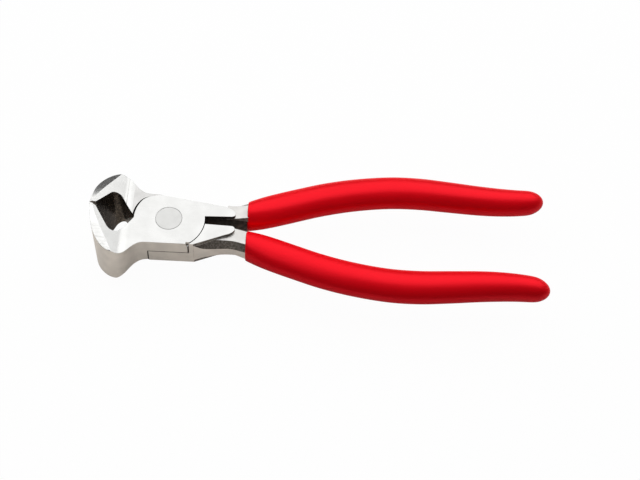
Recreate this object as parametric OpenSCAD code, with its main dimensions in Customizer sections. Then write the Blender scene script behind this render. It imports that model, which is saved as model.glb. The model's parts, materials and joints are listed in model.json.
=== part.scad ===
// End cutting nippers: two forged levers that turn on one rivet, with dipped grips.
// The origin is on the rivet's axis, in the joint's rear face.
// X runs from the jaws to the handle ends, Y across the handles, Z through the joint.

/* [Joint] */
// Thickness of the joint, through both laps
joint_t = 12.8; // [11:0.2:15]
// Width of the neck, flat to flat
neck_w = 22.8; // [21:0.2:25]
// Radius of the lap's edge round the rivet
lap_r = 13.95; // [13.2:0.05:15]
// Gap between the lap's edges and the shoulders beside them
shoulder_gap = 0.3; // [0.2:0.05:0.5]
// Gap between the faces of the two laps
lap_gap = 0.05; // [0.02:0.01:0.1]
// Radius of the lap's nose, towards the mouth, round the rivet
nose_r = 13.5; // [13:0.05:13.9]
// Turn round the rivet at which the nose's arc begins
nose_turn = 146; // [142:1:150]
// Distance from the rivet at which the front lap's nose leaves the side of the neck
nose_x = 3.4; // [3.2:0.1:4.4]
// The same distance on the rear lap
rear_nose_x = 7.2; // [6.6:0.1:7.4]
// Gap between the nose and the shoulder beside it
nose_gap = 0.25; // [0.2:0.05:0.4]
// Gap added to it at the mouth
throat_gap = 0.45; // [0.2:0.05:0.6]
// Distance of the throat's corner from the middle line
throat_y = 0.3; // [0.1:0.05:0.6]
// Depth to which the neck is relieved beside the nose
neck_relief = 0.8; // [0.3:0.1:1.2]
// Width of the small notch at the lap's lower corner
notch_w = 0.8; // [0.5:0.1:1.4]
// Depth of that notch along the rivet
notch_t = 1.9; // [1.6:0.1:3.4]

/* [Front edge bevel] */
// Distance of the front lap's beveled edge from the rivet
bevel_y = 10.06; // [9.4:0.02:10.8]
// Slope of that bevel along the lap
bevel_turn = 9; // [6:0.5:12]
// Slope of that bevel across the lap
bevel_lean = 62; // [58:1:75]

/* [Rivet] */
// Diameter of the rivet's flush ends
head_d = 10.4; // [9.6:0.1:12]
// Diameter of the rivet's shank
rivet_d = 8.4; // [7:0.1:9]
// Radial running gap round the rivet in the front lever
run_gap = 0.04; // [0.02:0.01:0.08]

/* [Jaws] */
// Distance from the rivet to the cutting edges
jaw_reach = 29.7; // [28:0.1:33]
// Width over both jaws at the belly
jaw_w = 36; // [33:0.5:40]
// Length of the cutting edges
edge_len = 30.4; // [28:0.2:34]
// Half of the gap left between the closed edges
edge_gap = 0.05; // [0.03:0.01:0.1]
// Distance from the rivet to the foot of the front flares
flare_start = 14.5; // [14:0.1:16]
// Distance from the rivet to the foot of the fuller flares at the rear
rear_flare_start = 12; // [11.6:0.1:14]
// Radius at the foot of the flare
flare_r = 6; // [4:0.5:9]
// Slope of the flare
flare_angle = 35.4; // [30:0.2:40]
// Slope of the ground ends of the edges at the front
end_angle = 19.3; // [16:0.1:21]
// Slope of the ground ends of the edges at the rear
rear_end_angle = 15; // [13:0.1:19]
// Rise of the ground ends' roof over a flat one
end_bulge = 0.5; // [0.2:0.1:0.8]
// Depth of the cutting bevel inside the edge
cut_d = 2.3; // [1.5:0.1:3]
// Slope of the cutting bevel
cut_angle = 19.5; // [14:0.5:26]

/* [Mouth] */
// Distance from the rivet to the middle of the mouth
mouth_x = 20.6; // [19.8:0.1:21.6]
// Height of the mouth above the middle line
mouth_h = 8.7; // [7.5:0.1:10]
// Radius at the top of the mouth
mouth_r = 2.65; // [2:0.05:3.4]

/* [Shanks] */
// Half of the slot between the shanks beside the lap
slot_y = 1.75; // [1.4:0.05:2.2]
// Half of that slot at the end of the joint's flat
slot_end_y = 2.15; // [1.8:0.05:2.6]
// Reach of the joint's flat along the shank
flat_x = 25.8; // [24:0.1:27]
// Distance from the rivet at which the shank leaves the head
shank_x = 8.8; // [8:0.1:10]
// Outer edge of the shank beside the lap
shank_shoulder_y = 11.2; // [10.8:0.1:11.6]
// Half thickness of the shank beside the lap
shank_shoulder_t = 5.5; // [4.8:0.1:6]
// Distance from the rivet to the slimmest part of the shank
waist_x = 24.5; // [22:0.1:27]
// Outer edge of the shank at its slimmest
waist_y = 9.9; // [9.4:0.1:11]
// Inner edge of the shank there
waist_in_y = 1.9; // [1.6:0.05:2.2]
// Half thickness of the shank there
waist_t = 5; // [4.4:0.1:5.4]
// Width of the forged outer chamfers along the shank
chamfer = 2.4; // [1.8:0.1:2.8]
// Half height of the band between the outer chamfers at the waist
band_t = 1.8; // [1.4:0.1:2.4]

/* [Handles] */
// Distance from the rivet to the handle ends
handle_reach = 148.5; // [135:0.5:165]
// Distance from the rivet to the grips
grip_start = 30.2; // [29:0.1:36]
// Half spread of the handles at the bow
bow = 21.9; // [21:0.1:26]
// Half width of a grip
grip_half_w = 7.2; // [6.6:0.1:7.4]
// Half thickness of a grip
grip_half_t = 5.4; // [5:0.1:6.4]
// Thickness of the dipped coat
coat = 1.3; // [1.1:0.1:1.6]
// Length of the coat past the tang's end
end_coat = 4.5; // [3:0.1:7]
// Length over which the grip's end is rounded
end_round = 7; // [5:0.5:10]

/* [Hidden] */
$fn = 96;

// Overrun of every cut, and the steps of arcs, curves and sweeps
over = 1;
arc_steps = 16;
curve_steps = 20;
shank_rings = 16;
tang_rings = 18;
grip_rings = 26;
grip_sides = 24;
cap_rings = 6;
roof_steps = 12;
// Scale of a roof's bulge, at which its top is one end_bulge high
bulge_scale = 27/4;

// Derived sizes of the joint, the jaws and the handles
half_t = joint_t/2;
half_neck = neck_w/2;
half_jaw = jaw_w/2;
half_edge = edge_len/2;
head_sink = (head_d - rivet_d)/2;
shoulder_r = lap_r + shoulder_gap;
lap_corner_x = sqrt(lap_r*lap_r - half_neck*half_neck);
throat_turn = 180 + asin(throat_y/nose_r);
throat = nose_r*[cos(throat_turn), sin(throat_turn)];
mouth_top = [-mouth_x, mouth_r - mouth_h];
cut_foot = [cut_d - jaw_reach, -edge_gap - cut_d*tan(cut_angle)];
grip_len = handle_reach - grip_start;
tang_end = handle_reach - end_coat;
cap_start = handle_reach - end_round;

// Jaw outline, as shares of the jaw's reach and of its half width
neck_end_share = 0.276;
neck_pull_share = 0.461;
belly_pull_share = 0.492;
belly_share = 0.65;
front_shares = [[0.975, 0.3], [0.962, 0.66], [0.8, 1], [belly_share, 1]];

// Foot of the notch, as a share of its width
notch_foot_share = 0.2;

// Pull of each nose's curve at the neck and at the arc, as shares of the nose's radius
nose_pull_shares = [[-0.341, 0.767], [-0.693, 0.774]];
rear_nose_pull_shares = [[-0.61, 0.785], [-0.735, 0.69]];
// Steepness with which the nose's gap widens towards the mouth
gap_power = 4;

// Outline of the joint's flat at its end, as shares of its reach and of the neck's half width
flat_start_share = 0.938;
flat_end_shares = [[1.03, 0.2], [1.023, 0.456], [0.868, 0.553]];
flat_side_share = 0.4;

// Chamfers where they start, at the waist and at the grip's mouth, as shares of the outer one
chamfer_start_share = 0.1;
waist_chamfer_share = 0.75;
inner_waist_share = 0.14;
inner_mouth_share = 0.45;

// Handle's middle line as shares of the bow, and its section as shares of the grip's,
// each against the share of the grip's length
bow_shares = [[0, 0.311], [0.077, 0.45], [0.162, 0.607], [0.247, 0.758], [0.349, 0.892],
    [0.468, 0.986], [0.57, 1], [0.672, 0.962], [0.79, 0.913], [0.894, 0.904], [1, 0.945]];
width_shares = [[0, 0.823], [0.06, 0.975], [0.15, 1.01], [0.4, 0.975], [0.62, 0.94],
    [0.79, 0.86], [0.9, 0.77], [1, 0.66]];
depth_shares = [[0, 1.09], [0.1, 1], [0.75, 0.99], [0.9, 0.94], [1, 0.85]];

// Rounded mouth of a grip, as places in coats and shares of the section there
mouth_round_shares = [[0, 0.93], [0.2, 0.975], [0.7, 1]];
// Turn of the last ring of a grip's rounded end
cap_turn = 78;

// Points of an arc, and of a cubic curve through p[0] and p[3] that p[1] and p[2] pull
function arc(c, r, a0, a1, n) = [for (i = [0:n]) let (a = a0 + (a1 - a0)*i/n) c + r*[cos(a), sin(a)]];
function bez(p, n) = [for (i = [0:n]) let (t = i/n, u = 1 - t)
    u*u*u*p[0] + 3*u*u*t*p[1] + 3*u*t*t*p[2] + t*t*t*p[3]];

// Turn round a circle to the point where a line from p touches it, on side s
function touch(p, c, r, s) = let (v = c - p, a = atan2(v.y, v.x) + s*asin(r/norm(v)),
    q = sqrt(v*v - r*r)*[cos(a), sin(a)] - v) atan2(q.y, q.x);

// Smooth value at x through a table of [x, value]
function row_at(t, x, i = 0) = i >= len(t) - 2 || x < t[i + 1][0] ? i : row_at(t, x, i + 1);
function rise(t, i, j) = (t[j][1] - t[i][1])/(t[j][0] - t[i][0]);
function grade(t, i) = rise(t, max(i - 1, 0), min(i + 1, len(t) - 1));
function smooth(t, x) = let (i = row_at(t, x), h = t[i + 1][0] - t[i][0], u = (x - t[i][0])/h, w = 1 - u)
    w*w*(1 + 2*u)*t[i][1] + u*u*(3 - 2*u)*t[i + 1][1] + u*w*h*(w*grade(t, i) - u*grade(t, i + 1));

// Middle line, half width and half thickness of a grip at x
function along(x) = (x - grip_start)/grip_len;
function mid_y(x) = bow*smooth(bow_shares, along(x));
function side_w(x) = grip_half_w*smooth(width_shares, along(x));
function side_t(x) = grip_half_t*smooth(depth_shares, along(x));

// Outer edge, inner edge and half thickness of the shank and of the tang beyond it
shank_out = [[shank_x, half_neck - edge_gap], [lap_r, shank_shoulder_y], [waist_x, waist_y],
    [grip_start, mid_y(grip_start) + side_w(grip_start) - coat]];
shank_in = [[shank_x, slot_y + edge_gap], [waist_x, waist_in_y],
    [grip_start, mid_y(grip_start) - side_w(grip_start) + coat]];
shank_t = [[shank_x, half_t - edge_gap], [lap_r, shank_shoulder_t], [waist_x, waist_t],
    [grip_start, side_t(grip_start) - coat]];
function out_y(x) = x < grip_start ? smooth(shank_out, x) : mid_y(x) + side_w(x) - coat;
function in_y(x) = x < grip_start ? smooth(shank_in, x) : mid_y(x) - side_w(x) + coat;
function bar_t(x) = x < grip_start ? smooth(shank_t, x) : side_t(x) - coat;

// Place of x between a and b, from 0 to 1
function ramp(x, a, b) = min(1, max(0, (x - a)/(b - a)));

// Outer chamfers of the shank and tang, across and along the rivet, and the inner chamfers
outer_c = [[shank_x, chamfer_start_share*chamfer], [lap_r, chamfer], [waist_x, waist_chamfer_share*chamfer],
    [grip_start, chamfer]];
outer_d = [[shank_x, chamfer_start_share*chamfer], [lap_r, chamfer], [waist_x, waist_t - band_t],
    [grip_start, chamfer]];
inner_c = [[shank_x, chamfer_start_share*chamfer], [waist_x, inner_waist_share*chamfer],
    [grip_start, inner_mouth_share*chamfer], [grip_start + grip_half_w, chamfer]];
function out_c(x) = x < grip_start ? smooth(outer_c, x) : chamfer;
function out_d(x) = x < grip_start ? smooth(outer_d, x) : chamfer;
function in_c(x) = x < grip_start + grip_half_w ? smooth(inner_c, x) : chamfer;

// Rings of points round the bar and round a grip
function bar_ring(x) = let (o = out_y(x), n = in_y(x), t = bar_t(x), c = out_c(x), d = out_d(x), k = in_c(x))
    [[x, o, d - t], [x, o, t - d], [x, o - c, t], [x, n + k, t],
    [x, n, t - k], [x, n, k - t], [x, n + k, -t], [x, o - c, -t]];
function grip_ring(x, w, t) = [for (j = [0:grip_sides - 1]) let (a = 360*j/grip_sides)
    [x, mid_y(x) + w*cos(a), t*sin(a)]];

// Solid through rings of points, with a flat face at each end
module skin(rings) {
    sides = len(rings[0]);
    last = len(rings) - 1;
    polyhedron(
        points = [for (r = rings) each r],
        faces = concat(
            [[for (j = [0:sides - 1]) j]],
            [for (i = [0:last - 1], j = [0:sides - 1]) let (a = i*sides, b = a + sides, k = (j + 1)%sides)
                each [[a + j, b + j, b + k], [a + j, b + k, a + k]]],
            [[for (j = [sides - 1:-1:0]) last*sides + j]]
        )
    );
}

// Nose of the rear or the front lap, from the side of the neck to the mouth
function nose_path(rear) = let (corner = [rear ? -rear_nose_x : -nose_x, half_neck],
    pull = nose_r*(rear ? rear_nose_pull_shares : nose_pull_shares), foot = nose_r*[cos(nose_turn), sin(nose_turn)])
    concat(bez([corner, pull[0], pull[1], foot], arc_steps),
        arc([0, 0], nose_r, nose_turn, throat_turn, arc_steps));

// Plan of a lever's head: its jaw, its neck, its lap and the flat that runs out along the shank
module head_plan(rear) {
    front_curve = [for (p = front_shares) [-p.x*jaw_reach, -p.y*half_jaw]];
    neck_curve = [[-belly_share*jaw_reach, -half_jaw], [-belly_pull_share*jaw_reach, -half_jaw],
        [-neck_pull_share*jaw_reach, -half_neck], [-neck_end_share*jaw_reach, -half_neck]];
    flat_end = concat([[flat_start_share*flat_x, slot_end_y]],
        [for (p = flat_end_shares) [p.x*flat_x, p.y*half_neck]]);
    polygon(concat(
        [[-jaw_reach, -edge_gap]],
        bez(front_curve, curve_steps),
        bez(neck_curve, curve_steps),
        arc([0, 0], lap_r, -asin(half_neck/lap_r), asin(slot_y/lap_r), arc_steps),
        bez(flat_end, curve_steps),
        [[flat_side_share*flat_x, half_neck]],
        nose_path(rear),
        arc(mouth_top, mouth_r, touch(throat, mouth_top, mouth_r, 1),
            touch(cut_foot, mouth_top, mouth_r, -1), arc_steps),
        [cut_foot]
    ));
}

// Side of a flare whose foot starts at start, from its foot to past the cutting edge
function flare(start) = let (foot = arc([-start, half_t + flare_r], flare_r, -90, -90 - flare_angle, arc_steps),
    end_x = -jaw_reach - over, last = foot[arc_steps])
    concat(foot, [[end_x, last.y + (last.x - end_x)*tan(flare_angle)]]);

// Side of the head: the joint's faces, a flare above and one below, and the relieved neck
module head_side(upper_start, lower_start) {
    lower = flare(lower_start);
    rotate([90, 0, 0])
        linear_extrude(height = jaw_w + 2*over, center = true)
            polygon(concat(
                [[2*flat_x, half_t]],
                flare(upper_start),
                [for (i = [len(lower) - 1:-1:0]) [lower[i].x, -lower[i].y]],
                [[-nose_x, neck_relief - half_t], [0, neck_relief - half_t]],
                [[0, -half_t], [2*flat_x, -half_t]]
            ));
}

// One side of a roof with the slope of angle, which bulges most at a third of the way to its eave
function roof(side, angle) = [for (i = [0:roof_steps]) let (u = i/roof_steps, w = 1 - u)
    [u*side, half_edge - u*side*tan(angle) + bulge_scale*u*w*w*end_bulge]];

// Roof shape of the jaws' ground ends, above and below
module ground_ends(upper_angle, lower_angle) {
    side = half_jaw + over;
    upper = roof(side, upper_angle);
    lower = roof(side, lower_angle);
    rotate([90, 0, 90])
        linear_extrude(height = 2*(jaw_reach + over), center = true)
            polygon(concat(
                [for (i = [roof_steps:-1:1]) [-upper[i].x, upper[i].y]],
                upper,
                [for (i = [roof_steps:-1:1]) [lower[i].x, -lower[i].y]],
                [for (p = lower) [-p.x, -p.y]]
            ));
}

// Head of the rear or the front lever, each with its fuller flare at the rear of the tool
module head_block(rear) {
    intersection() {
        linear_extrude(height = edge_len + 2*over, center = true)
            head_plan(rear);
        head_side(rear ? rear_flare_start : flare_start, rear ? flare_start : rear_flare_start);
        ground_ends(rear ? rear_end_angle : end_angle, rear ? end_angle : rear_end_angle);
    }
}

// Space behind the rear or the front lever's lap, in which the other lever's lap turns
module lap_pocket(rear) {
    reach = 2*lap_r;
    nose = [for (p = nose_path(!rear)*(1 + nose_gap/nose_r))
        [p.x - throat_gap*(1 - pow(abs(p.y)/half_neck, gap_power)), -p.y]];
    throat_wall = nose[len(nose) - 1].x;
    translate([0, 0, -half_t - over])
        linear_extrude(height = half_t + over + lap_gap/2) {
            polygon(concat([[0, -reach], [nose[0].x, -reach]], nose, [[throat_wall, reach], [0, reach]]));
            intersection() {
                circle(r = shoulder_r);
                translate([-over, -reach])
                    square([reach, 2*reach]);
            }
        }
}

// Shank of the rivet with a countersunk end towards +Z, wider by gap and longer by run
module rivet_half(gap, run) {
    translate([0, 0, -run])
        cylinder(h = half_t + run, r = rivet_d/2 + gap);
    translate([0, 0, half_t - head_sink])
        cylinder(h = head_sink + run, r1 = rivet_d/2 + gap, r2 = head_d/2 + gap + run);
}

// Rear or front forged lever, its lap towards +Z, its jaw below and its handle above the middle line
module lever(gap, rear) {
    difference() {
        union() {
            head_block(rear);
            skin(concat(
                [for (i = [0:shank_rings - 1]) bar_ring(shank_x + (grip_start - shank_x)*i/shank_rings)],
                [for (i = [0:tang_rings]) bar_ring(grip_start + (tang_end - grip_start)*i/tang_rings)]
            ));
        }
        lap_pocket(rear);
        rivet_half(gap, over);
        translate([lap_corner_x, -half_neck, half_t])
            rotate([90, 0, 0])
                linear_extrude(height = 2*notch_w, center = true)
                    polygon([[-notch_w, over], [over, over], [over, -notch_t], [-notch_foot_share*notch_w, -notch_t]]);
    }
}

// Bevel ground along the upper edge of the front lap
module edge_bevel() {
    translate([0, bevel_y, half_t])
        rotate([90 - bevel_lean, 0, -bevel_turn])
            translate([-nose_r, 0, -joint_t])
                cube([nose_r + flat_end_shares[2].x*flat_x, half_neck, 2*joint_t]);
}

// One dipped grip round the tang of a lever
module grip() {
    body_start = grip_start + mouth_round_shares[2][0]*coat;
    difference() {
        skin(concat(
            [for (m = mouth_round_shares) let (x = grip_start + m[0]*coat)
                grip_ring(x, side_w(x)*m[1], side_t(x)*m[1])],
            [for (i = [1:grip_rings]) let (x = body_start + (cap_start - body_start)*i/grip_rings)
                grip_ring(x, side_w(x), side_t(x))],
            [for (i = [1:cap_rings]) let (a = cap_turn*i/cap_rings, s = cos(a))
                grip_ring(cap_start + end_round*sin(a), side_w(cap_start)*s, side_t(cap_start)*s)]
        ));
        skin(concat(
            [bar_ring(grip_start - over)],
            [for (i = [0:tang_rings]) bar_ring(grip_start + (tang_end - grip_start)*i/tang_rings)]
        ));
    }
}

module front_lever() {
    color("gainsboro")
        translate([0, 0, half_t])
            difference() {
                lever(run_gap, false);
                edge_bevel();
            }
}

module rear_lever() {
    color("silver")
        translate([0, 0, half_t])
            rotate([180, 0, 0])
                lever(0, true);
}

module rivet() {
    color("lightgray")
        translate([0, 0, half_t]) {
            rivet_half(0, 0);
            rotate([180, 0, 0])
                rivet_half(0, 0);
        }
}

module upper_grip() {
    color("red")
        translate([0, 0, half_t])
            grip();
}

module lower_grip() {
    color("red")
        translate([0, 0, half_t])
            rotate([180, 0, 0])
                grip();
}

front_lever();
rear_lever();
rivet();
upper_grip();
lower_grip();
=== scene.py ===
# End cutting nippers: two ground and plated levers on a flush rivet, with dipped red grips.
import json
from math import cos, hypot, pi, radians, sin

import bmesh
import bpy
from mathutils import Matrix, Vector


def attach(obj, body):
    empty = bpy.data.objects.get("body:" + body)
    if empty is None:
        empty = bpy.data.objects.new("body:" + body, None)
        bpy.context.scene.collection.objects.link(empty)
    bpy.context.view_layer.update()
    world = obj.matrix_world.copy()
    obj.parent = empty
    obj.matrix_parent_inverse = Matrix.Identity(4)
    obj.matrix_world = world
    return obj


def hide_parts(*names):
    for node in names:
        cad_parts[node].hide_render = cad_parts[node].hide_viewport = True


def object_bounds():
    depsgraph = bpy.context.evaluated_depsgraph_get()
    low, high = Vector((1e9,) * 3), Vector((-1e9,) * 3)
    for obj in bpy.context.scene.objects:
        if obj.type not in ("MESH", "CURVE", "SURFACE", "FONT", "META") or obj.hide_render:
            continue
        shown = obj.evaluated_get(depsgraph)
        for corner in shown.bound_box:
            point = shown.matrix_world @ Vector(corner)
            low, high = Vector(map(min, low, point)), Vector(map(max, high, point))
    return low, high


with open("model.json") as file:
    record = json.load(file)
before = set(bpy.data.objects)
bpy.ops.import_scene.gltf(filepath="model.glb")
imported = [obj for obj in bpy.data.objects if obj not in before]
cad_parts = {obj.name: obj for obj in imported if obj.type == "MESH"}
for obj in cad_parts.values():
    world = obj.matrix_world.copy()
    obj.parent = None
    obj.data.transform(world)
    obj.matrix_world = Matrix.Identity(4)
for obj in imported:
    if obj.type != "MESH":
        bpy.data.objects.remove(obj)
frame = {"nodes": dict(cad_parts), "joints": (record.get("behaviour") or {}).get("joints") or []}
cadLow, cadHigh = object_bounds()
mm = 0.001
scene = bpy.context.scene
pivot = Vector(frame["joints"][0]["pos_m"])  # on the rivet's axis, halfway through the joint
everywhere = 1.0  # metres, a reach past every end of the tool
print("frame loaded:", ", ".join(sorted(frame["nodes"])))


# Shared mesh helpers

def linkPiece(name, bm, body, pieceMaterials, node):
    # the mesh becomes a piece that rides on its body and stands for its CAD node
    mesh = bpy.data.meshes.new(name)
    bm.to_mesh(mesh)
    bm.free()
    for material in pieceMaterials:
        mesh.materials.append(material)
    piece = bpy.data.objects.new(name, mesh)
    scene.collection.objects.link(piece)
    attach(piece, body)
    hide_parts(node)
    print(name + ":", len(mesh.polygons), "faces")
    return piece


def mergedCopy(node, sizes):
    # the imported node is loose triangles, so its copy is merged, its flat faces are made whole
    # and edges too short for a bevel are closed up
    bm = bmesh.new()
    bm.from_mesh(frame["nodes"][node].data)
    bmesh.ops.remove_doubles(bm, verts=bm.verts, dist=sizes["mergeGap"])
    bmesh.ops.dissolve_limit(bm, angle_limit=radians(sizes["flatAngle"]), verts=bm.verts, edges=bm.edges,
                             delimit={"NORMAL"})
    bmesh.ops.remove_doubles(bm, verts=bm.verts, dist=sizes["shortEdge"])
    bmesh.ops.dissolve_degenerate(bm, edges=bm.edges, dist=sizes["shortEdge"] / 2)
    return bm


def isNarrow(face, sizes):
    # a strip with no room for a bevel along both of its sides
    return face.calc_area() < sizes["narrow"] * max(edge.calc_length() for edge in face.edges)


def isSharp(edge, reach, sizes):
    # an edge to ease turns sharply, lies within reach of the joint's middle plane and borders no
    # narrow strip
    return (edge.is_manifold and edge.calc_face_angle() > radians(sizes["sharpAngle"])
            and all(abs(vert.co.z - pivot.z) < reach for vert in edge.verts)
            and not any(isNarrow(face, sizes) for face in edge.link_faces))


def easeEdges(bm, sizes):
    # sharp edges get a small round, and its faces are marked for the wear in the materials
    eased = bm.faces.layers.float.new("eased")
    for reach, width in sizes["easings"]:
        sharp = [edge for edge in bm.edges if isSharp(edge, reach, sizes)]
        made = bmesh.ops.bevel(bm, geom=sharp, offset=width, offset_type="WIDTH", affect="EDGES",
                               segments=sizes["segments"], profile=0.5, material=-1, clamp_overlap=False)
        for face in made["faces"]:
            face[eased] = 1.0
        bmesh.ops.remove_doubles(bm, verts=bm.verts, dist=sizes["mergeGap"])
        bmesh.ops.dissolve_degenerate(bm, edges=bm.edges, dist=sizes["mergeGap"])
    for face in bm.faces:
        face.smooth = True


def weightNormals(piece):
    # wide faces stay flat in the shading right up to their eased edges
    weighted = piece.modifiers.new("weightedNormals", "WEIGHTED_NORMAL")
    weighted.keep_sharp = True


# Shared node helpers

mixSockets = {"share": 0, "first": 6, "second": 7, "result": 2}  # a Mix node's sockets for colours


def opaque(colour):
    return (*colour, 1.0)


def feed(tree, socket, value):
    # another node's output is linked, and a plain value is set
    if isinstance(value, bpy.types.NodeSocket):
        tree.links.new(value, socket)
    else:
        socket.default_value = value


def objectSpot(tree):
    return tree.nodes.new("ShaderNodeTexCoord").outputs["Object"]


def mathNode(tree, operation, *values, clamp=False):
    node = tree.nodes.new("ShaderNodeMath")
    node.operation = operation
    node.use_clamp = clamp
    for socket, value in zip(node.inputs, values):
        feed(tree, socket, value)
    return node.outputs[0]


def noiseNode(tree, vector, scale, detail, rough=0.5):
    node = tree.nodes.new("ShaderNodeTexNoise")
    inputs = {"Vector": vector, "Scale": scale, "Detail": detail, "Roughness": rough}
    for socketName, value in inputs.items():
        feed(tree, node.inputs[socketName], value)
    return node.outputs["Fac"]


def stretched(tree, vector, scale):
    node = tree.nodes.new("ShaderNodeMapping")
    node.inputs["Scale"].default_value = scale
    tree.links.new(vector, node.inputs["Vector"])
    return node.outputs["Vector"]


def ranged(tree, value, low, high, toLow=0.0, toHigh=1.0):
    node = tree.nodes.new("ShaderNodeMapRange")
    node.interpolation_type = "SMOOTHSTEP"
    tree.links.new(value, node.inputs["Value"])
    limits = {"From Min": low, "From Max": high, "To Min": toLow, "To Max": toHigh}
    for socketName, number in limits.items():
        node.inputs[socketName].default_value = number
    return node.outputs["Result"]


def mixedColour(tree, share, first, second):
    node = tree.nodes.new("ShaderNodeMix")
    node.data_type = "RGBA"
    tree.links.new(share, node.inputs[mixSockets["share"]])
    for end, colour in (("first", first), ("second", second)):
        feed(tree, node.inputs[mixSockets[end]], opaque(colour) if isinstance(colour, tuple) else colour)
    return node.outputs[mixSockets["result"]]


def newGroup(name, inputs, outputs):
    # an empty group, with the sockets inside it that give its inputs and take its outputs;
    # each input starts from a value that a material may change
    group = bpy.data.node_groups.new(name, "ShaderNodeTree")
    for socketName, value in inputs.items():
        socket = group.interface.new_socket(name=socketName, in_out="INPUT", socket_type="NodeSocketFloat")
        socket.default_value = value
    for socketName in outputs:
        group.interface.new_socket(name=socketName, in_out="OUTPUT", socket_type="NodeSocketFloat")
    return group, group.nodes.new("NodeGroupInput").outputs, group.nodes.new("NodeGroupOutput").inputs


def groupNode(tree, group, **values):
    node = tree.nodes.new("ShaderNodeGroup")
    node.node_tree = group
    for name, value in values.items():
        node.inputs[name].default_value = value
    return node.outputs


# Shader node groups, each placed in several materials with its own values

satinGrain = {
    "inputs": {"Lines": 2600.0, "Cloud": 140.0},
    "drawnOut": (0.035, 1.0, 1.0), "lineDetail": 3.0, "lineRough": 0.6,  # the lines run along X
    "cloudDetail": 3.0, "fineScale": 5200.0, "fineDetail": 2.0, "fineShare": 0.6, "contrast": (0.3, 0.7),
}


def buildGrain(look):
    # fine lines of a satin grind, over a slow unevenness of the polish
    tree, given, put = newGroup("satinGrain", look["inputs"], ("Line", "Polish", "Height"))
    spot = objectSpot(tree)
    along = stretched(tree, spot, look["drawnOut"])
    line = noiseNode(tree, along, given["Lines"], look["lineDetail"], look["lineRough"])
    polish = noiseNode(tree, spot, given["Cloud"], look["cloudDetail"])
    fine = noiseNode(tree, spot, look["fineScale"], look["fineDetail"])
    tree.links.new(ranged(tree, line, *look["contrast"]), put["Line"])
    tree.links.new(ranged(tree, polish, *look["contrast"]), put["Polish"])
    fineHeight = mathNode(tree, "MULTIPLY", fine, look["fineShare"])
    tree.links.new(mathNode(tree, "ADD", line, fineHeight), put["Height"])
    return tree


forgedScale = {
    "inputs": {"Size": 900.0, "Pits": 1500.0},
    "mottleDetail": 5.0, "mottleRough": 0.62, "contrast": (0.32, 0.68),
    "pitEdge": (0.05, 0.45), "pitShare": 0.35,
}


def buildForged(look):
    # scale and small pits left by the forging die
    tree, given, put = newGroup("forgedSkin", look["inputs"], ("Mottle", "Height"))
    spot = objectSpot(tree)
    mottle = noiseNode(tree, spot, given["Size"], look["mottleDetail"], look["mottleRough"])
    cells = tree.nodes.new("ShaderNodeTexVoronoi")
    tree.links.new(spot, cells.inputs["Vector"])
    tree.links.new(given["Pits"], cells.inputs["Scale"])
    pit = ranged(tree, cells.outputs["Distance"], *look["pitEdge"])
    tree.links.new(ranged(tree, mottle, *look["contrast"]), put["Mottle"])
    pitHeight = mathNode(tree, "MULTIPLY", pit, look["pitShare"])
    tree.links.new(mathNode(tree, "ADD", mottle, pitHeight), put["Height"])
    return tree


edgeWear = {
    "inputs": {"Amount": 0.6, "Breakup": 700.0},
    "detail": 3.0, "contrast": (0.3, 0.65), "leastWear": 0.35,
}


def buildWear(look):
    # eased edges take their edge colour, rubbed bright on most finishes and darker on the rivet's rim,
    # broken up so that no edge is evenly worn
    tree, given, put = newGroup("edgeWear", look["inputs"], ("Worn",))
    edge = tree.nodes.new("ShaderNodeAttribute")
    edge.attribute_name = "eased"
    patches = noiseNode(tree, objectSpot(tree), given["Breakup"], look["detail"])
    broken = ranged(tree, patches, *look["contrast"], look["leastWear"])
    worn = mathNode(tree, "MULTIPLY", edge.outputs["Fac"], broken)
    tree.links.new(mathNode(tree, "MULTIPLY", worn, given["Amount"], clamp=True), put["Worn"])
    return tree


dippedPeel = {
    "inputs": {"Peel": 900.0, "Sag": 70.0},
    "peelDetail": 2.0, "peelShare": 0.12,
    "drawnOut": (0.35, 1.0, 1.0), "sagDetail": 2.0, "contrast": (0.3, 0.7),  # the sags run along X
    "speckScale": 2400.0, "speckDetail": 1.0, "speckEdge": (0.7, 0.78),
}


def buildPeel(look):
    # surface of a dipped coat: fine orange peel, slow sags and a few specks
    tree, given, put = newGroup("dippedPeel", look["inputs"], ("Sagging", "Speck", "Height"))
    spot = objectSpot(tree)
    peel = noiseNode(tree, spot, given["Peel"], look["peelDetail"])
    sag = noiseNode(tree, stretched(tree, spot, look["drawnOut"]), given["Sag"], look["sagDetail"])
    speck = noiseNode(tree, spot, look["speckScale"], look["speckDetail"])
    tree.links.new(ranged(tree, sag, *look["contrast"]), put["Sagging"])
    tree.links.new(ranged(tree, speck, *look["speckEdge"]), put["Speck"])
    peelHeight = mathNode(tree, "MULTIPLY", peel, look["peelShare"])
    tree.links.new(mathNode(tree, "ADD", peelHeight, sag), put["Height"])
    return tree


grainGroup = buildGrain(satinGrain)
forgedGroup = buildForged(forgedScale)
wearGroup = buildWear(edgeWear)
peelGroup = buildPeel(dippedPeel)


# Materials

def newMaterial(name, metallic, specular=0.5):
    material = bpy.data.materials.new(name)
    material.use_nodes = True
    tree = material.node_tree
    surface = tree.nodes["Principled BSDF"].inputs
    surface["Metallic"].default_value = metallic
    surface["Specular IOR Level"].default_value = specular
    return material, tree, surface


def bumped(tree, surface, height, strength, distance):
    bump = tree.nodes.new("ShaderNodeBump")
    bump.inputs["Strength"].default_value = strength
    bump.inputs["Distance"].default_value = distance
    tree.links.new(height, bump.inputs["Height"])
    tree.links.new(bump.outputs["Normal"], surface["Normal"])


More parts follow.
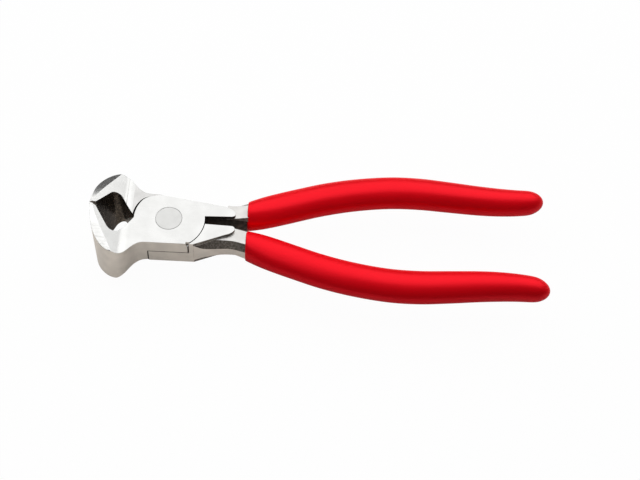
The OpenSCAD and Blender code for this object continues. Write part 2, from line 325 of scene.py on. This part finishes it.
def satinSteel(name, finish):
    # ground or blasted steel under thin bright plating
    material, tree, surface = newMaterial(name, finish["metallic"])
    grain = groupNode(tree, grainGroup, Lines=finish["lines"], Cloud=finish["cloud"])
    wear = groupNode(tree, wearGroup, Amount=finish["wear"])
    plain = mixedColour(tree, grain["Polish"], finish["dull"], finish["bright"])
    rough = mathNode(tree, "MULTIPLY_ADD", grain["Line"], finish["lineRough"], finish["rough"])
    tree.links.new(mixedColour(tree, wear["Worn"], plain, finish["edge"]), surface["Base Color"])
    tree.links.new(rough, surface["Roughness"])
    bumped(tree, surface, grain["Height"], finish["bump"], finish["depth"])
    return material


def forgedSteel(name, finish):
    # dark skin of the forging, where nothing was ground; also the painted shade of the gaps and the darker
    # skin of the mouth
    material, tree, surface = newMaterial(name, finish["metallic"])
    skin = groupNode(tree, forgedGroup, Size=finish["size"], Pits=finish["pits"])
    wear = groupNode(tree, wearGroup, Amount=finish["wear"])
    plain = mixedColour(tree, skin["Mottle"], finish["dark"], finish["light"])
    if "mouthShade" in finish:
        # painted shade: the skin gets darker towards the edges of the jaws
        place = tree.nodes.new("ShaderNodeSeparateXYZ")
        tree.links.new(objectSpot(tree), place.inputs["Vector"])
        unshaded = ranged(tree, place.outputs["X"], *finish["mouthShadeAt"])
        plain = mixedColour(tree, unshaded, finish["mouthShade"], plain)
    rough = ranged(tree, skin["Mottle"], 0.0, 1.0, *finish["roughRange"])
    tree.links.new(mixedColour(tree, wear["Worn"], plain, finish["edge"]), surface["Base Color"])
    tree.links.new(rough, surface["Roughness"])
    bumped(tree, surface, skin["Height"], finish["bump"], finish["depth"])
    return material


steelFinishes = {
    # colours from dull to bright over the polish, and at worn edges, then the grain, wear and bump
    "ground": {"dull": (0.55, 0.55, 0.54), "bright": (0.6, 0.6, 0.59), "edge": (0.7, 0.7, 0.69),
               "rough": 0.27, "lineRough": 0.05, "lines": 2600.0, "cloud": 140.0, "wear": 0.5,
               "metallic": 1.0, "bump": 0.25, "depth": 0.004 * mm},
    "side": {"dull": (0.58, 0.54, 0.49), "bright": (0.65, 0.6, 0.545), "edge": (0.72, 0.7, 0.67),
             "rough": 0.36, "lineRough": 0.06, "lines": 1500.0, "cloud": 220.0, "wear": 0.6,
             "metallic": 1.0, "bump": 0.4, "depth": 0.008 * mm},
    "roof": {"dull": (0.56, 0.56, 0.55), "bright": (0.64, 0.64, 0.63), "edge": (0.72, 0.72, 0.71),
             "rough": 0.17, "lineRough": 0.07, "lines": 1700.0, "cloud": 320.0, "wear": 0.5,
             "metallic": 1.0, "bump": 0.3, "depth": 0.005 * mm},
    # painted shade: the relieved neck is a darker copy of the ground steel
    "neck": {"dull": (0.45, 0.445, 0.435), "bright": (0.52, 0.515, 0.505), "edge": (0.66, 0.65, 0.64),
             "rough": 0.31, "lineRough": 0.05, "lines": 1900.0, "cloud": 240.0, "wear": 0.5,
             "metallic": 1.0, "bump": 0.35, "depth": 0.006 * mm},
    "shank": {"dull": (0.47, 0.46, 0.445), "bright": (0.54, 0.53, 0.515), "edge": (0.68, 0.67, 0.65),
              "rough": 0.33, "lineRough": 0.05, "lines": 1400.0, "cloud": 260.0, "wear": 0.6,
              "metallic": 1.0, "bump": 0.45, "depth": 0.008 * mm},
    # the rivet's eased rim turns darker than its face
    "rivet": {"dull": (0.46, 0.46, 0.45), "bright": (0.5, 0.5, 0.49), "edge": (0.4, 0.39, 0.38),
              "rough": 0.29, "lineRough": 0.05, "lines": 2200.0, "cloud": 260.0, "wear": 0.9,
              "metallic": 1.0, "bump": 0.3, "depth": 0.005 * mm},
}
skinFinishes = {
    # colours from dark to light over the mottle, and at worn edges, then the scale, wear and bump
    "forged": {"dark": (0.12, 0.104, 0.088), "light": (0.33, 0.295, 0.26), "edge": (0.7, 0.69, 0.67),
               "roughRange": (0.55, 0.38), "size": 1100.0, "pits": 1600.0, "wear": 0.5,
               "metallic": 0.7, "bump": 0.7, "depth": 0.04 * mm},
    # painted shade: a near-black skin on the walls of the gaps, the slot and the notch, where the gaps
    # fall into shade
    "inner": {"dark": (0.035, 0.027, 0.021), "light": (0.1, 0.08, 0.063), "edge": (0.4, 0.38, 0.35),
              "roughRange": (0.48, 0.36), "size": 500.0, "pits": 900.0, "wear": 0.25,
              "metallic": 0.9, "bump": 0.4, "depth": 0.03 * mm},
    # the skin inside the mouth: forged skin made darker than elsewhere as painted shade in the hollow,
    # with more painted shade towards the edges of the jaws
    "mouth": {"dark": (0.085, 0.065, 0.048), "light": (0.2, 0.158, 0.118), "edge": (0.5, 0.47, 0.44),
              "roughRange": (0.34, 0.26), "size": 900.0, "pits": 1500.0, "wear": 0.3,
              "metallic": 0.9, "bump": 0.3, "depth": 0.02 * mm,
              "mouthShade": (0.03, 0.022, 0.016), "mouthShadeAt": (-25.5 * mm, -19.5 * mm)},
}
materials = {name: satinSteel(name + "Steel", finish) for name, finish in steelFinishes.items()}
materials |= {name: forgedSteel(name + "Skin", finish) for name, finish in skinFinishes.items()}

dippedPvc = {
    "red": (0.96, 0.0, 0.006), "deep": (0.88, 0.0, 0.005), "speck": (0.82, 0.0, 0.004),
    "roughRange": (0.34, 0.42), "specular": 1.0, "ior": 2.2, "gloss": (1.0, 0.03, 0.05),
    "peel": 900.0, "sag": 70.0, "bump": 0.2, "depth": 0.22 * mm,
}


def softPvc(name, finish):
    # glossy red coat, whose highlight is tinted by the pigment under it
    material, tree, surface = newMaterial(name, 0.0, finish["specular"])
    surface["IOR"].default_value = finish["ior"]
    surface["Specular Tint"].default_value = opaque(finish["gloss"])
    peel = groupNode(tree, peelGroup, Peel=finish["peel"], Sag=finish["sag"])
    plain = mixedColour(tree, peel["Sagging"], finish["deep"], finish["red"])
    rough = ranged(tree, peel["Sagging"], 0.0, 1.0, *finish["roughRange"])
    tree.links.new(mixedColour(tree, peel["Speck"], plain, finish["speck"]), surface["Base Color"])
    tree.links.new(rough, surface["Roughness"])
    bumped(tree, surface, peel["Height"], finish["bump"], finish["depth"])
    return material


materials["grip"] = softPvc("dippedPvc", dippedPvc)
print("materials built:", len(materials))


# Levers

lever = {
    # how the mesh is made ready and its edges are eased, each time with a reach and a width
    "mergeGap": 0.002 * mm, "flatAngle": 0.6, "shortEdge": 0.12 * mm, "narrow": 0.2 * mm,
    "sharpAngle": 26, "segments": 2, "easings": ((0.1 * mm, 0.21 * mm), (everywhere, 0.1 * mm)),
    # where the finishes change, measured from the pivot on a lever whose handle is above
    "mouthX": (-28.3 * mm, -13.2 * mm), "mouthY": 8.9 * mm,
    "wallRadii": (13.2 * mm, 15.6 * mm), "wallY": 11.3 * mm,  # the wall round the other lap
    "slotX": 13.4 * mm, "slotY": 6.0 * mm,  # the slot between the shanks
    "notchAt": (8.04 * mm, -11.4 * mm), "notchSize": 1.1 * mm, "notchDepth": 4.2 * mm,
    "bevelAt": Vector((0.0, 10.06, 6.4)) * mm, "bevelFacing": Vector((0.138, 0.872, 0.469)),
    "bevelGap": 0.05 * mm,
    "reliefX": (-14.2 * mm, -2.5 * mm), "reliefZ": (-6.37 * mm, -5.4 * mm),  # the relieved neck
    "roofX": -13.0 * mm,  # the roof-shaped ends of the cutting edges
    "shankX": 9.0 * mm, "shankZ": 6.37 * mm, "stepY": 10.9 * mm,  # the shank and the step it starts with
    "seamZ": 0.3 * mm,  # the eased edges where the laps meet
    # how a face is turned, as the share of its direction along an axis
    "upright": 0.5, "inward": 0.8, "slotWall": -0.6, "bevelled": 0.99, "chamfered": (0.35, 0.94),
    "stepLevel": 0.3, "stepForward": 0.25, "roofTilt": 0.2, "relieved": -0.95, "shankFlat": 0.85,
    "chamferedBelow": -0.6,
}
leverFinishes = ("ground", "side", "forged", "inner", "neck", "shank", "mouth", "roof")


def isWithin(value, limits):
    return limits[0] < value < limits[1]


def finishOf(spot, facing):
    # which finish a face has, by its place and direction; the walls of the gaps, the slot and the notch
    # get painted shade
    level = abs(facing.z)
    upright = level < lever["upright"]
    onShank = spot.x > lever["shankX"]
    onStep = onShank and spot.y < lever["stepY"]
    radius = hypot(spot.x, spot.y)
    inward = abs(spot.x * facing.x + spot.y * facing.y) / radius
    roundLap = isWithin(radius, lever["wallRadii"]) and abs(spot.y) < lever["wallY"]
    inRelief = isWithin(spot.x, lever["reliefX"]) and isWithin(spot.z, lever["reliefZ"])
    fromNotch = max(abs(spot.x - lever["notchAt"][0]), abs(spot.y - lever["notchAt"][1]))
    fromBevel = abs((spot - lever["bevelAt"]).dot(facing))
    # painted shade on the notch facet, which stands for the shadow inside the gap
    if fromNotch < lever["notchSize"] and facing.z > lever["upright"] and spot.z < lever["notchDepth"]:
        return "inner"
    # painted shade: the upright faces inside the mouth get the darker mouth skin
    if upright and isWithin(spot.x, lever["mouthX"]) and abs(spot.y) < lever["mouthY"]:
        return "mouth"
    # painted shade on the walls round the other lap and on the walls of the slot
    if upright and inward > lever["inward"] and roundLap:
        return "inner"
    if upright and facing.y < lever["slotWall"] and spot.x > lever["slotX"] and spot.y < lever["slotY"]:
        return "inner"
    if facing.dot(lever["bevelFacing"]) > lever["bevelled"] and fromBevel < lever["bevelGap"]:
        return "ground"
    if onShank and isWithin(abs(facing.y), lever["chamfered"]) and isWithin(level, lever["chamfered"]):
        return "forged"
    if onStep and level < lever["stepLevel"] and facing.x > lever["stepForward"]:
        return "forged"
    if not upright and abs(facing.x) < lever["roofTilt"] < abs(facing.y) and spot.x < lever["roofX"]:
        return "roof"
    # painted shade on the relieved neck
    if facing.z < lever["relieved"] and inRelief:
        return "neck"
    if onShank and level > lever["shankFlat"] and abs(spot.z) < lever["shankZ"]:
        return "shank"
    return "side" if upright else "ground"


def setFinish(face, finish):
    face.material_index = leverFinishes.index(finish)


def hasFinish(face, finish):
    return face.material_index == leverFinishes.index(finish)


def finishFaces(bm, turn):
    for face in bm.faces:
        spot = face.calc_center_median() - pivot
        setFinish(face, finishOf(spot * turn, face.normal * turn))
        if hasFinish(face, "forged") and spot.z < 0 and face.normal.z > lever["chamferedBelow"]:
            setFinish(face, "side")  # at the rear only the chamfers are dark


def finishEased(bm):
    # eased edges where the laps meet get painted shade, a dark seam, and show no wear
    eased = bm.faces.layers.float["eased"]
    for face in bm.faces:
        if face[eased] == 0:
            continue
        # painted shade along the seam between the laps
        if abs(face.calc_center_median().z - pivot.z) < lever["seamZ"]:
            face[eased] = 0.0
            setFinish(face, "inner")
        elif hasFinish(face, "forged") and abs(face.normal.z) < lever["upright"]:
            setFinish(face, "side")  # upright ones are as bright as the side


def buildLever(name, node, body, flip):
    # the rear lever is the front one turned over about X, so its faces are judged turned back
    bm = mergedCopy(node, lever)
    finishFaces(bm, Vector((1.0, flip, flip)))
    easeEdges(bm, lever)
    finishEased(bm)
    pieceMaterials = [materials[finish] for finish in leverFinishes]
    weightNormals(linkPiece(name, bm, body, pieceMaterials, node))


buildLever("frontLever", "front_lever", "front", 1)
buildLever("rearLever", "rear_lever", "rear", -1)


# Rivet

rivet = {
    "mergeGap": 0.002 * mm, "flatAngle": 0.4, "shortEdge": 0.02 * mm, "narrow": 0.02 * mm,
    "sharpAngle": 22, "segments": 2, "easings": ((everywhere, 0.15 * mm),),
}


def buildRivet():
    bm = mergedCopy("rivet", rivet)
    easeEdges(bm, rivet)
    weightNormals(linkPiece("flushRivet", bm, "rear", (materials["rivet"],), "rivet"))


buildRivet()


# Grips

grip = {
    # in millimetres along X, from where the coat starts to the tip of its domed end
    "start": 30.2, "end": 148.35, "capLength": 6.85, "ringStep": 2.5,
    "capTurn": 82, "capRings": 6, "sides": 32, "smoothing": 1,  # degrees of the dome's arc, and counts
    # rows of (x, millimetres): how far the middle line stands off the tool's, and half of the section
    "middle": [(30.2, 6.81), (39.31, 9.86), (49.36, 13.29), (59.42, 16.6), (71.49, 19.53), (85.56, 21.59),
               (97.63, 21.9), (109.7, 21.07), (123.66, 19.99), (135.96, 19.8), (148.5, 20.7)],
    "halfWidth": [(30.2, 5.9), (37.3, 6.99), (47.95, 7.24), (77.5, 6.99), (103.55, 6.74), (123.66, 6.17),
                  (136.67, 5.51), (148.5, 4.73)],
    "halfDepth": [(30.2, 5.87), (42.03, 5.38), (118.93, 5.33), (136.67, 5.06), (148.5, 4.57)],
    # mouth of the coat: places past its start, and shares of the section there
    "mouth": [(2.4, 0.8), (0.6, 0.8), (0.07, 0.83), (0.0, 0.89), (0.06, 0.95), (0.3, 0.985), (0.9, 0.998)],
}


def gradeAt(table, i):
    # slope of a table's curve at a row, from the rows on either side
    before = table[max(i - 1, 0)]
    after = table[min(i + 1, len(table) - 1)]
    return (after[1] - before[1]) / (after[0] - before[0])


def smoothAt(table, x):
    # value at x on the smooth curve through a table's rows
    i = max(0, min(len(table) - 2, sum(1 for row in table if row[0] <= x) - 1))
    (startX, start), (endX, end) = table[i], table[i + 1]
    run = endX - startX
    past = (x - startX) / run
    left = 1 - past
    return (left * left * (1 + 2 * past) * start + past * past * (3 - 2 * past) * end
            + past * left * run * (left * gradeAt(table, i) - past * gradeAt(table, i + 1)))


def gripStations():
    # each ring's place along X and its share of the section: mouth, body, then the domed end
    capStart = grip["end"] - grip["capLength"]
    bodyStart = grip["start"] + grip["mouth"][-1][0]
    bodyLength = capStart - bodyStart
    steps = round(bodyLength / grip["ringStep"])
    turns = [radians(grip["capTurn"] * i / grip["capRings"]) for i in range(1, grip["capRings"] + 1)]
    stations = [(grip["start"] + past, share) for past, share in grip["mouth"]]
    stations += [(bodyStart + bodyLength * i / steps, 1.0) for i in range(1, steps + 1)]
    stations += [(capStart + grip["capLength"] * sin(turn), cos(turn)) for turn in turns]
    return stations


def gripRing(bm, x, share, side):
    # one oval ring round the handle's middle line
    middle = smoothAt(grip["middle"], x)
    place = Matrix.Translation(Vector((x * mm, side * middle * mm, pivot.z)))
    size = Matrix.Diagonal((smoothAt(grip["halfDepth"], x) * share * mm,
                            smoothAt(grip["halfWidth"], x) * share * mm, 1.0, 1.0))
    upright = Matrix.Rotation(pi / 2, 4, "Y")
    made = bmesh.ops.create_circle(bm, cap_ends=False, segments=grip["sides"], radius=1.0,
                                   matrix=place @ upright @ size)
    return list({edge for vert in made["verts"] for edge in vert.link_edges})


def buildGrip(name, node, body, side):
    bm = bmesh.new()
    rings = [gripRing(bm, x, share, side) for x, share in gripStations()]
    for first, second in zip(rings, rings[1:]):
        bmesh.ops.bridge_loops(bm, edges=first + second)
    bmesh.ops.contextual_create(bm, geom=rings[0])  # closed inside the tang
    bmesh.ops.contextual_create(bm, geom=rings[-1])
    bmesh.ops.recalc_face_normals(bm, faces=bm.faces)
    for face in bm.faces:
        face.smooth = True
    piece = linkPiece(name, bm, body, (materials["grip"],), node)
    rounded = piece.modifiers.new("rounded", "SUBSURF")
    rounded.levels = rounded.render_levels = grip["smoothing"]


buildGrip("upperGrip", "upper_grip", "front", 1)
buildGrip("lowerGrip", "lower_grip", "rear", -1)


# Stage: pale table, softboxes and the camera where the photographer stood

stage = {
    "tableSize": 3.0, "viewTransform": "Standard",
    # the table looks even and near white to the camera, warm in the mirroring steel and dim to the rest
    "seen": {"colour": (0.0288, 0.0288, 0.0288), "glow": 0.97},
    "mirrored": {"colour": (0.97, 0.94, 0.9), "glow": 0.155},
    "bounced": {"colour": (0.32, 0.305, 0.29), "glow": 0.0},
    "world": (1.0, 1.0, 1.0), "worldStrength": 0.13,
}
softboxes = {
    # place and size in metres and power in watts, all turned towards the joint
    "overheadBox": {"at": (0.02, 0.46, 0.66), "size": (2.0, 1.03), "power": 9.6},
    "roofBox": {"at": (-0.03, -0.03, 0.17), "size": (0.1, 0.066), "power": 0.036},
    "rightBox": {"at": (0.42, 0.5, 0.64), "size": (0.5, 0.9), "power": 0.4},
    "endBox": {"at": (1.0, 0.35, 0.30), "size": (0.6, 0.5), "power": 0.18},
}
camera = {
    # solved from the photograph's perspective: degrees for the turn, millimetres for lens and sensor
    "at": (48.04 * mm, -269.8 * mm, 418.78 * mm), "turn": (32.888, -2.636, 1.719),
    "lens": 70.653, "sensor": 36.0, "clipStart": 10 * mm,
}


def tableShader(tree, look):
    # a matt surface, with its glow added where it has one
    matt = tree.nodes.new("ShaderNodeBsdfDiffuse")
    matt.inputs["Color"].default_value = opaque(look["colour"])
    if not look["glow"]:
        return matt.outputs[0]
    glow = tree.nodes.new("ShaderNodeEmission")
    glow.inputs["Strength"].default_value = look["glow"]
    lit = tree.nodes.new("ShaderNodeAddShader")
    tree.links.new(matt.outputs[0], lit.inputs[0])
    tree.links.new(glow.outputs[0], lit.inputs[1])
    return lit.outputs[0]


def chosenShader(tree, chooser, first, second):
    mix = tree.nodes.new("ShaderNodeMixShader")
    for socket, output in zip(mix.inputs, (chooser, first, second)):
        tree.links.new(output, socket)
    return mix.outputs[0]


def buildTable():
    bm = bmesh.new()
    bmesh.ops.create_grid(bm, x_segments=1, y_segments=1, size=stage["tableSize"] / 2,
                          matrix=Matrix.Translation((0.0, 0.0, cadLow.z)))
    mesh = bpy.data.meshes.new("paleTable")
    bm.to_mesh(mesh)
    bm.free()
    table = bpy.data.objects.new("paleTable", mesh)
    scene.collection.objects.link(table)
    material = bpy.data.materials.new("paleTable")
    material.use_nodes = True
    tree = material.node_tree
    tree.nodes.remove(tree.nodes["Principled BSDF"])
    rays = tree.nodes.new("ShaderNodeLightPath").outputs
    seen, mirrored, bounced = (tableShader(tree, stage[name]) for name in ("seen", "mirrored", "bounced"))
    unseen = chosenShader(tree, rays["Is Glossy Ray"], bounced, mirrored)
    whole = chosenShader(tree, rays["Is Camera Ray"], unseen, seen)
    tree.links.new(whole, tree.nodes["Material Output"].inputs["Surface"])
    mesh.materials.append(material)


def buildLights():
    for name, box in softboxes.items():
        light = bpy.data.lights.new(name, "AREA")
        light.shape = "RECTANGLE"
        light.size, light.size_y = box["size"]
        light.energy = box["power"]
        lamp = bpy.data.objects.new(name, light)
        lamp.location = box["at"]
        lamp.rotation_euler = (Vector(box["at"]) - pivot).to_track_quat("Z", "Y").to_euler()
        scene.collection.objects.link(lamp)
    world = bpy.data.worlds.new("studio")
    world.use_nodes = True
    sky = world.node_tree.nodes["Background"].inputs
    sky["Color"].default_value = opaque(stage["world"])
    sky["Strength"].default_value = stage["worldStrength"]
    scene.world = world


def buildCamera():
    lens = bpy.data.cameras.new("photoCamera")
    lens.lens = camera["lens"]
    lens.sensor_width = camera["sensor"]
    lens.clip_start = camera["clipStart"]
    eye = bpy.data.objects.new("photoCamera", lens)
    eye.location = camera["at"]
    eye.rotation_euler = [radians(angle) for angle in camera["turn"]]
    scene.collection.objects.link(eye)
    scene.camera = eye


buildTable()
buildLights()
buildCamera()
scene.view_settings.view_transform = stage["viewTransform"]
print("stage built:", len(softboxes), "softboxes")
